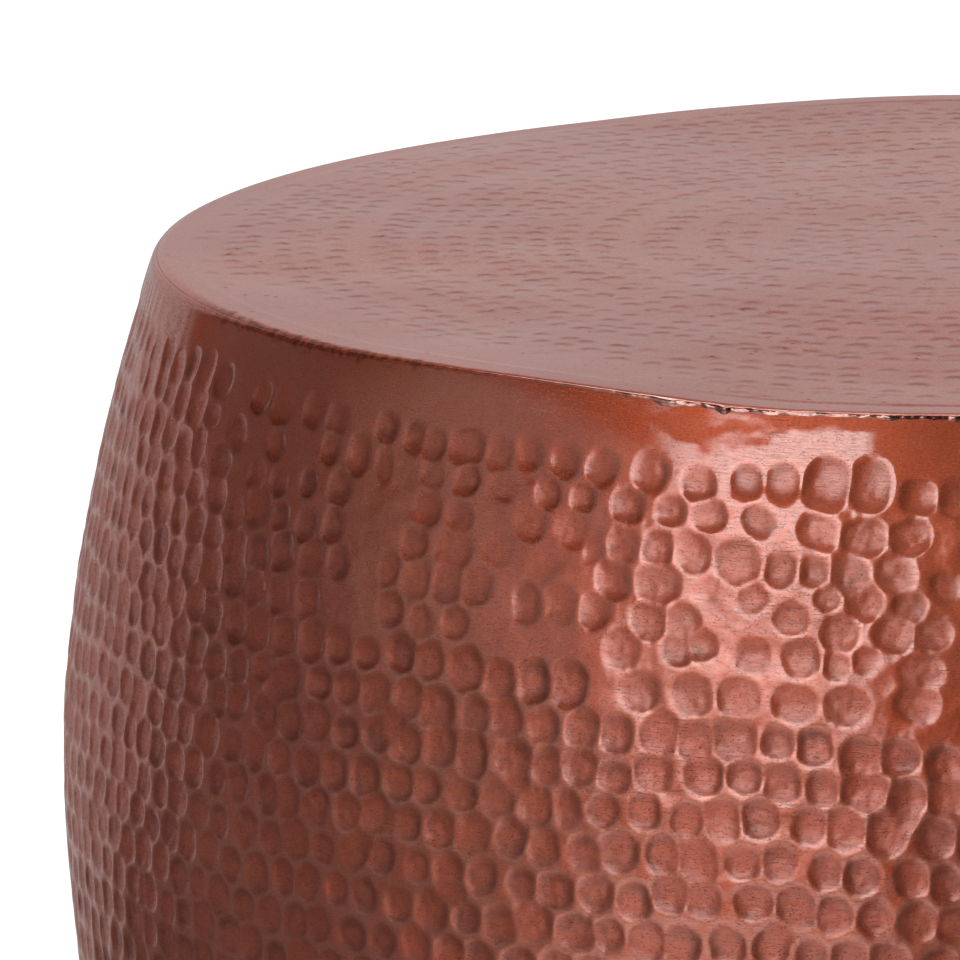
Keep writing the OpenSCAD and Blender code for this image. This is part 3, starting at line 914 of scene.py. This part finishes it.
def copper_start(name):
    """The tree, position, cloud, mottling, field mask and base tint both sheets share."""
    mat = material(name)
    pos = mat.coords()
    cloud = mat.noise(pos, 9.0, detail=4.0, rough=0.6)
    mottled = mat.noise(pos, 46.0, detail=4.0, rough=0.62, distortion=0.6)
    tint = mat.mix(mat.span(cloud, 0.35, 0.68), COPPER_DEEP, COPPER)
    field = mat.span(mat.noise(pos, 30.0, detail=4.0, rough=0.62), 0.40, 0.66)
    return mat, pos, cloud, mottled, field, tint


def copper_finish(mat, tint, grain, brushed, spots, rough, coat_weight, coat_rough,
                  grain_bump, pit_bump, edge):
    """Lays the spots and the grain over the tint and into the relief."""
    tint = mat.stain(tint, SOOT, spots, 0.60)
    tint = mat.mix(mat.span(grain, 0.30, 0.64, to=(0.50, 0.0)), tint, COPPER_GRAIN)
    relief = mat.plus(mat.times(grain, 0.5), mat.times(brushed, 0.5))
    normal = mat.bump(relief, strength=grain_bump, distance=0.00010)
    normal = mat.bump(mat.minus(1.0, spots), strength=pit_bump, distance=0.00012,
                      Normal=normal)
    return mat.surface(
        Base_Color=tint, Metallic=METALLIC, Roughness=mat.plus(rough, mat.times(spots, 0.2)),
        Normal=normal, Coat_Weight=mat.dim(coat_weight, spots, 0.65),
        Coat_Roughness=coat_rough, Coat_IOR=COAT_IOR, Specular_IOR_Level=0.5,
        Specular_Tint=edge)


def hammered_copper(name):
    """The wall: patina in the struck floors, worn ridges with painted highlight, painted shade,
    rolled grain.
    """
    mat, pos, cloud, mottled, field, tint = copper_start(name)
    ridge, depth = mat.attr("ridge"), mat.attr("depth")
    along, down = mat.attr("along"), mat.attr("down")

    def sheet(along_mm, down_mm, z=0.0):
        """A flat map of the wall with cells of the given size."""
        inputs = {0: mat.times(along, 1 / along_mm), 1: mat.times(down, 1 / down_mm), 2: z}
        return mat.add("ShaderNodeCombineXYZ", inputs).outputs[0]

    wear_and_sheen = mat.span(ridge, 0.10, 0.7)
    floors = mat.span(depth, 0.10, 0.50)
    tint = mat.stain(tint, COPPER_PALE, mat.span(mottled, 0.50, 0.72), 0.22)
    # ridges paled by wear and by a painted highlight, more strongly lower down
    tint = mat.stain(tint, COPPER_PALE, wear_and_sheen, mat.span(down, 60.0, 115.0, to=(0.14, 0.42)))
    tint = mat.stain(tint, COPPER_FLOOR, floors,
                     mat.span(mottled, 0.35, 0.65, to=(0.08, 0.52)))
    # painted shade on the lower wall of each blow, and darker in the creases where a floor meets
    # its wall
    low = mat.times(mat.span(ridge, -0.75, -0.15, to=(1.0, 0.0)),
                    mat.span(mottled, 0.42, 0.60))
    foot = mat.times(mat.attr("foot"), mat.span(mottled, 0.30, 0.60, to=(0.40, 1.0)))
    low = mat.most(low, foot)
    # painted shade: the blows' steep slopes are darkened
    slope = mat.times(mat.attr("lean"), mat.span(mottled, 0.30, 0.62, to=(0.40, 0.80)))
    rim = mat.attr("rim_shade")
    tint = mat.stain(tint, COPPER_SLOPE_SHADE, slope, 0.75)
    tint = mat.stain(tint, COPPER_FOOT_SHADE, low, 0.50)
    # painted shade: a dark line along the rim's corner
    tint = mat.stain(tint, RIM_SHADE, rim, 0.80)
    # the rolled grain: fine specks and scratches, longer along the sheet than across it
    grain = mat.noise(sheet(1.3, 0.42), rough=0.75)
    specks = mat.times(
        mat.span(mat.cells(sheet(1.15, 0.50)), 0.14, 0.38, to=(0.9, 0.0)),
        mat.span(mat.noise(sheet(4.0, 2.4, 3.0), rough=0.7), 0.42, 0.54))
    pits = mat.times(mat.span(mat.cells(sheet(2.6, 1.7, 7.0)), 0.05, 0.13, to=(0.8, 0.0)),
                     mat.span(mat.noise(pos, 90.0, detail=2.0), 0.48, 0.58))
    scratch = mat.times(
        mat.span(mat.noise(sheet(9.0, 0.42, 5.0), detail=4.0, rough=0.70), 0.55, 0.68),
        mat.plus(0.30, field))
    dirt = mat.plus(0.45, mat.times(mat.most(field, depth), 0.75))
    marks = mat.most(mat.most(specks, pits), mat.times(scratch, 0.60))
    spots = mat.times(marks, dirt, clamp=True)
    brush = mat.noise(sheet(40.0, 0.30), rough=0.6)
    brushed = mat.times(brush, mat.span(down, 8.0, 60.0, to=(1.0, 0.35)))
    rough = mat.minus(mat.plus(ROUGH, mat.times(cloud, 0.10)), mat.times(wear_and_sheen, 0.04))
    rough = mat.plus(rough, mat.times(floors, 0.05))
    # the lacquer is glassy in the plain band under the rim and duller over the struck part
    patchy = mat.times(mat.times(field, mat.span(down, 16.0, 34.0)), 0.05)
    coat_rough = mat.plus(mat.span(down, 16.0, 34.0, to=(0.035, COAT_ROUGH)),
                          mat.plus(patchy, mat.times(floors, 0.15)))
    streak = mat.span(mat.noise(sheet(5.0, 0.50, 9.0), detail=4.0, rough=0.72), 0.46, 0.62)
    coat = mat.less(floors, 0.20)
    coat = mat.dim(coat, slope, 0.30)
    coat = mat.dim(coat, streak, 0.45)
    coat = mat.dim(coat, rim, 0.85)
    return copper_finish(mat, tint, grain, brushed, spots, rough, coat, coat_rough,
                         grain_bump=0.30, pit_bump=0.55, edge=EDGE_WALL)


def peened_copper(name):
    """The top: even grain, scattered pits, and painted shade on the lips around the peening."""
    mat, pos, cloud, mottled, field, tint = copper_start(name)
    tint = mat.stain(tint, COPPER_PALE, mat.span(mottled, 0.50, 0.72), 0.16)
    grain = mat.noise(mat.coords((900, 900, 900)), rough=0.7)
    pits = mat.times(mat.span(mat.cells(pos, 165.0), 0.06, 0.20, to=(1.0, 0.0)),
                     mat.span(mat.noise(pos, 60.0, detail=2.0), 0.50, 0.58))
    specks = mat.times(mat.span(mat.cells(pos, 620.0), 0.10, 0.30, to=(1.0, 0.0)),
                       mat.span(mat.noise(pos, 75.0, rough=0.7), 0.54, 0.64))
    spots = mat.most(pits, mat.times(specks, 0.8))
    brushed = mat.times(mat.noise(pos, 320.0, detail=2.0, rough=0.5), 0.35)
    rim, lip_shade = mat.attr("rim_shade"), mat.attr("lip_shade")
    # painted shade: the line along the rim and the lips of the peen marks
    tint = mat.stain(tint, RIM_SHADE, rim, 0.80)
    tint = mat.stain(tint, LIP_SHADE, lip_shade, 0.42)
    rough = mat.plus(ROUGH, mat.times(cloud, 0.06))
    coat_rough = mat.plus(COAT_ROUGH, mat.times(field, 0.03))
    coat = mat.minus(1.0, mat.most(mat.times(rim, 0.85), mat.times(lip_shade, 0.25)))
    return copper_finish(mat, tint, grain, brushed, spots, rough, coat, coat_rough,
                         grain_bump=0.16, pit_bump=0.5, edge=EDGE_TOP)


def weld_copper(name):
    """The fused run: the sheet's colour where it lies flush, glassier where it is proud."""
    mat = material(name)
    pos = mat.coords()
    loud = mat.attr("loud")
    cloud = mat.noise(pos, 60.0, detail=4.0, rough=0.6)
    run = mat.mix(mat.span(cloud, 0.35, 0.65), (0.36, 0.085, 0.052), (0.66, 0.27, 0.20))
    dark = mat.span(mat.noise(pos, 230.0, rough=0.6), 0.54, 0.66)
    run = mat.stain(run, (0.09, 0.026, 0.018), dark, 0.5)
    # painted shade along the rim darkens the flush part of the run
    quiet = mat.stain(COPPER_DEEP, (0.13, 0.030, 0.019), mat.attr("rim_shade"), 0.85)
    return mat.surface(
        Base_Color=mat.mix(mat.span(loud, 0.10, 0.55), quiet, run), Metallic=METALLIC,
        Roughness=mat.span(loud, 0.10, 0.60, to=(ROUGH + 0.05, 0.24)),
        Normal=mat.bump(mat.noise(pos, 700.0, rough=0.6), strength=0.30, distance=0.00015),
        Coat_Weight=1.0, Coat_Roughness=0.07, Coat_IOR=COAT_IOR, Specular_Tint=EDGE_WALL)


# ---------------------------------------------------------------- the frame's finishes
def powder_coat(name):
    """Black coat with a fine peel and a few pale chips."""
    mat = material(name)
    pos = mat.coords()
    peel = mat.noise(pos, 480.0)
    tint = mat.mix(mat.span(mat.noise(pos, 14.0), 0.35, 0.7), (0.030, 0.030, 0.032),
                   (0.050, 0.049, 0.050))
    chips = mat.span(mat.noise(pos, 150.0, detail=4.0, rough=0.7), 0.66, 0.70)
    tint = mat.stain(tint, (0.16, 0.15, 0.145), chips, 0.6)
    return mat.surface(
        Base_Color=tint, Metallic=0.0, Roughness=mat.span(peel, 0.3, 0.7, to=(0.42, 0.60)),
        Normal=mat.bump(peel, strength=0.3, distance=0.00012), Specular_IOR_Level=0.5)


def bare_weld(name):
    """Steel weld with grey, straw, purple and blue heat tints."""
    mat = material(name)
    pos = mat.coords()
    heat = mat.noise(pos, 55.0, detail=2.0, rough=0.5)
    tint = mat.ramp(heat, [
        (0.30, (0.42, 0.40, 0.39)), (0.48, (0.44, 0.33, 0.20)), (0.56, (0.30, 0.20, 0.30)),
        (0.66, (0.18, 0.24, 0.38)), (0.8, (0.40, 0.39, 0.38))])
    scale = mat.noise(pos, 900.0, rough=0.6)
    relief = mat.plus(scale, mat.cells(pos, 420.0))
    return mat.surface(
        Base_Color=tint, Metallic=1.0, Roughness=mat.span(scale, 0.3, 0.7, to=(0.28, 0.50)),
        Normal=mat.bump(relief, strength=0.4, distance=0.0002))


def zinc(name):
    """Spangled grey plate with a faint yellow bloom."""
    mat = material(name)
    pos = mat.coords()
    spangle = mat.add("ShaderNodeSeparateColor", {0: mat.cells(pos, 700.0, out="Color")})
    tint = mat.mix(spangle.outputs[0], (0.52, 0.53, 0.56), (0.68, 0.68, 0.69))
    fine = mat.noise(pos, 1600.0)
    bloom = mat.span(mat.noise(pos, 300.0), 0.55, 0.7)
    tint = mat.stain(tint, (0.62, 0.58, 0.42), bloom, 0.4)
    return mat.surface(
        Base_Color=tint, Metallic=1.0, Roughness=mat.span(fine, 0.3, 0.7, to=(0.24, 0.40)),
        Normal=mat.bump(fine, strength=0.2, distance=0.00008))


def felt(name):
    """Dark grey fibres with paler flecks."""
    mat = material(name)
    pos = mat.coords()
    fibre = mat.noise(mat.coords((700, 240, 700)), detail=4.0, rough=0.7, distortion=1.2)
    fleck = mat.noise(pos, 900.0, detail=2.0)
    tint = mat.mix(mat.span(fibre, 0.3, 0.7), (0.055, 0.052, 0.048), (0.13, 0.125, 0.115))
    tint = mat.mix(mat.span(fleck, 0.62, 0.7, to=(0.0, 0.5)), tint, (0.30, 0.28, 0.25))
    return mat.surface(
        Base_Color=tint, Roughness=0.96, Sheen_Weight=0.5, Sheen_Roughness=0.6,
        Normal=mat.bump(fibre, strength=0.8, distance=0.0006), Specular_IOR_Level=0.2)


def nylon(name):
    """Near-black moulding with a fine grain and grey scuffs."""
    mat = material(name)
    pos = mat.coords()
    grain = mat.noise(pos, 1100.0, rough=0.6)
    scuff = mat.span(mat.noise(mat.coords((60, 900, 400))), 0.58, 0.7)
    tint = mat.mix(mat.span(mat.noise(pos, 40.0), 0.4, 0.6), (0.020, 0.020, 0.021),
                   (0.034, 0.034, 0.035))
    tint = mat.stain(tint, (0.16, 0.16, 0.16), scuff, 0.25)
    return mat.surface(
        Base_Color=tint, Roughness=mat.span(grain, 0.3, 0.7, to=(0.36, 0.52)),
        Normal=mat.bump(grain, strength=0.35, distance=0.0001), Specular_IOR_Level=0.5)


# ---------------------------------------------------------------- pieces
wall, hammer_field = make_wall()
top = make_top()
bead = make_rim_bead()
seam = make_seam(hammer_field)

wall_copper = hammered_copper("copper_hammered")
top_copper = peened_copper("copper_peened")
run_copper = weld_copper("copper_weld_run")
for ob, mat, node, slot in (
        (wall, wall_copper, "barrel_wall", "copper_wall"),
        (top, top_copper, "top_sheet", "copper_top"),
        (bead, run_copper, "rim_weld_bead", "copper_weld"),
        (seam, run_copper, "wall_seam_weld", "copper_weld")):
    ob.data.materials.append(mat)
    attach(ob, "root")
    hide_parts(node)

# material name: its maker and the frame's nodes that wear it
FINISHES = {
    "steel_powder_coat": (powder_coat, ["shoulder_ring", "base_ring", "brace_tube_long",
                                        "brace_tube_cross"]),
    "weld_heat_tinted": (bare_weld, ["shoulder_tack_welds", "base_tack_welds"]),
    "zinc_plate": (zinc, ["brace_screws", "brace_washers", "brace_centre_bolt",
                          "brace_centre_nut", "glide_screws", "glide_washers",
                          "glide_nuts"]),
    "wool_felt": (felt, ["felt_strips"]),
    "nylon_moulded": (nylon, ["floor_glides", "brace_end_plugs"]),
}
for name, (make, nodes) in FINISHES.items():
    mat = make(name)
    for node in nodes:
        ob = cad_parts[node]
        if len(ob.material_slots) == 0:
            ob.data.materials.append(mat)
        for slot in ob.material_slots:
            slot.material = mat


# ---------------------------------------------------------------- studio
scene = bpy.context.scene
scene.view_settings.view_transform = "Standard"
scene.view_settings.look = "None"
scene.view_settings.exposure = 0.0
scene.view_settings.gamma = 1.0

FLOOR_HALF = 14.0                            # metres


def floor_paint():
    """Bright to the camera; to other rays dull grey with glowing pools around the drum."""
    mat = material("studio_floor_paint")
    is_camera = mat.add("ShaderNodeLightPath").outputs["Is Camera Ray"]
    grain = mat.noise(mat.coords(), 40.0, detail=2.0)
    grey = mat.stain((0.50, 0.50, 0.50), (0.47, 0.47, 0.47), grain, 0.03)
    paint = mat.add("ShaderNodeBsdfDiffuse", {0: grey})
    shine = mat.add("ShaderNodeEmission", {0: (1, 1, 1), 1: 0.70})
    seen = mat.add("ShaderNodeAddShader", {0: paint.outputs[0], 1: shine.outputs[0]})

    position = mat.add("ShaderNodeSeparateXYZ", {0: mat.coords()})
    left = mat.times(position.outputs[0], -1.0)
    front = mat.times(position.outputs[1], -1.0)
    bearing = mat.bearing(left, front)
    distance = mat.math("SQRT", mat.plus(mat.times(left, left), mat.times(front, front)))
    reach = mat.times(mat.span(distance, 0.34, 0.60),
                      mat.span(distance, 1.6, 3.4, to=(1.0, 0.15)))
    front_left = mat.times(mat.band(bearing, 3, 9, 27, 52), reach)
    behind = mat.times(mat.span(mat.math("ABSOLUTE", bearing), 106, 119),
                       mat.span(distance, 0.30, 0.45))
    strength = mat.plus(mat.times(front_left, 0.62), mat.times(behind, 0.31))
    dull = mat.add("ShaderNodeBsdfDiffuse", {0: (0.16, 0.16, 0.16)})
    pools = mat.add("ShaderNodeEmission", {1: strength})
    unseen = mat.add("ShaderNodeAddShader", {0: dull.outputs[0], 1: pools.outputs[0]})
    mixed = mat.add("ShaderNodeMixShader",
                    {0: is_camera, 1: unseen.outputs[0], 2: seen.outputs[0]})
    mat.put(mat.out.inputs[0], mixed.outputs[0])
    return mat.owner


def make_floor():
    mesh = bpy.data.meshes.new("studio_floor")
    half = FLOOR_HALF
    corners = [(-half, -half, 0), (half, -half, 0), (half, half, 0), (-half, half, 0)]
    mesh.from_pydata(corners, [], [(0, 1, 2, 3)])
    floor = bpy.data.objects.new("studio_floor", mesh)
    scene.collection.objects.link(floor)
    mesh.materials.append(floor_paint())


# Strength, azimuth window (0 = front, positive = left) and elevation window, both in degrees
# as (off, full, full, off). The light behind is two entries that meet at 180 degrees.
LIGHTS = [
    (0.03, None, None),
    (1.95, (9.5, 12, 29, 33), (-6, 12, 25.9, 26.4)),
    (1.80, (9.5, 12, 29, 33), (9, 20, 25.9, 26.4)),
    (1.65, (29, 33, 34, 43), (-6, 12, 24.8, 25.4)),
    (1.45, (29, 33, 34, 43), (9, 20, 24.8, 25.4)),
    (0.37, (36, 44, 66, 96), (-25, -18, 18, 24)),
    (0.12, (70, 90, 122, 134), (-25, -18, 10, 20)),
    (0.60, (129, 138, 181, 182), (-20, 4, 12, 52)),
    (0.60, (-182, -181, -138, -129), (-20, 4, 12, 52)),
    (3.0, None, (50, 60, 72, 86)),
    (1.4, (-128, -112, -80, -62), (0, 8, 34, 46)),
    (0.50, (-110, -95, -44, -27), (4, 12, 34, 60)),
]


def studio_world():
    """Soft studio light as a function of direction; plain bright white to the camera."""
    world = bpy.data.worlds.new("studio")
    scene.world = world
    sky = Nodes(world, "ShaderNodeOutputWorld")
    direction = sky.add("ShaderNodeTexCoord").outputs["Generated"]
    x, y, z = sky.add("ShaderNodeSeparateXYZ", {0: direction}).outputs
    azimuth = sky.bearing(sky.times(x, -1.0), sky.times(y, -1.0))
    elevation = sky.times(sky.math("ARCSINE", z), 180 / PI)
    total = None
    for strength, across, upwards in LIGHTS:
        light = strength
        if across:
            light = sky.times(sky.band(azimuth, *across), light)
        if upwards:
            light = sky.times(sky.band(elevation, *upwards), light)
        total = light if total is None else sky.plus(total, light)
    is_camera = sky.add("ShaderNodeLightPath").outputs["Is Camera Ray"]
    lit = sky.add("ShaderNodeBackground", {1: total})
    seen = sky.add("ShaderNodeBackground", {1: 1.3})
    mixed = sky.add("ShaderNodeMixShader",
                    {0: is_camera, 1: lit.outputs[0], 2: seen.outputs[0]})
    sky.put(sky.out.inputs[0], mixed.outputs[0])
    world.cycles.sampling_method = "AUTOMATIC"


# ---------------------------------------------------------------- camera
CAMERA_DISTANCE = 2200.0                     # mm from the middle of the top
CAMERA_ELEVATION = 0.18905                   # radians, as are the turns below
CAMERA_YAW, CAMERA_PITCH, CAMERA_ROLL = 0.07337, -0.03632, 0.01642
CAMERA_LENS = 248.644875                     # mm, on a sensor 36 mm wide


def turned(vector, axis, angle):
    axis = axis / np.linalg.norm(axis)
    cos, sin = math.cos(angle), math.sin(angle)
    return vector * cos + np.cross(axis, vector) * sin + axis * (axis @ vector) * (1 - cos)


def make_camera():
    """In front of and above the drum, turned a little off its middle."""
    forward = np.array([0, math.cos(CAMERA_ELEVATION), -math.sin(CAMERA_ELEVATION)])
    eye = np.array([0, 0, RIM_Z]) - CAMERA_DISTANCE * forward
    right = np.array([1.0, 0, 0])
    up = np.cross(right, forward)
    vertical = np.array([0, 0, 1.0])
    forward, right, up = [turned(v, vertical, CAMERA_YAW) for v in (forward, right, up)]
    forward, up = [turned(v, right, CAMERA_PITCH) for v in (forward, up)]
    right, up = [turned(v, forward, CAMERA_ROLL) for v in (right, up)]
    data = bpy.data.cameras.new("camera")
    camera = bpy.data.objects.new("camera", data)
    scene.collection.objects.link(camera)
    rows = [(right[i], up[i], -forward[i], eye[i] * MM) for i in range(3)]
    camera.matrix_world = Matrix(rows + [(0, 0, 0, 1)])
    data.sensor_width = 36.0
    data.lens = CAMERA_LENS
    data.clip_start, data.clip_end = 0.05, 60.0
    scene.camera = camera


make_floor()
studio_world()
make_camera()
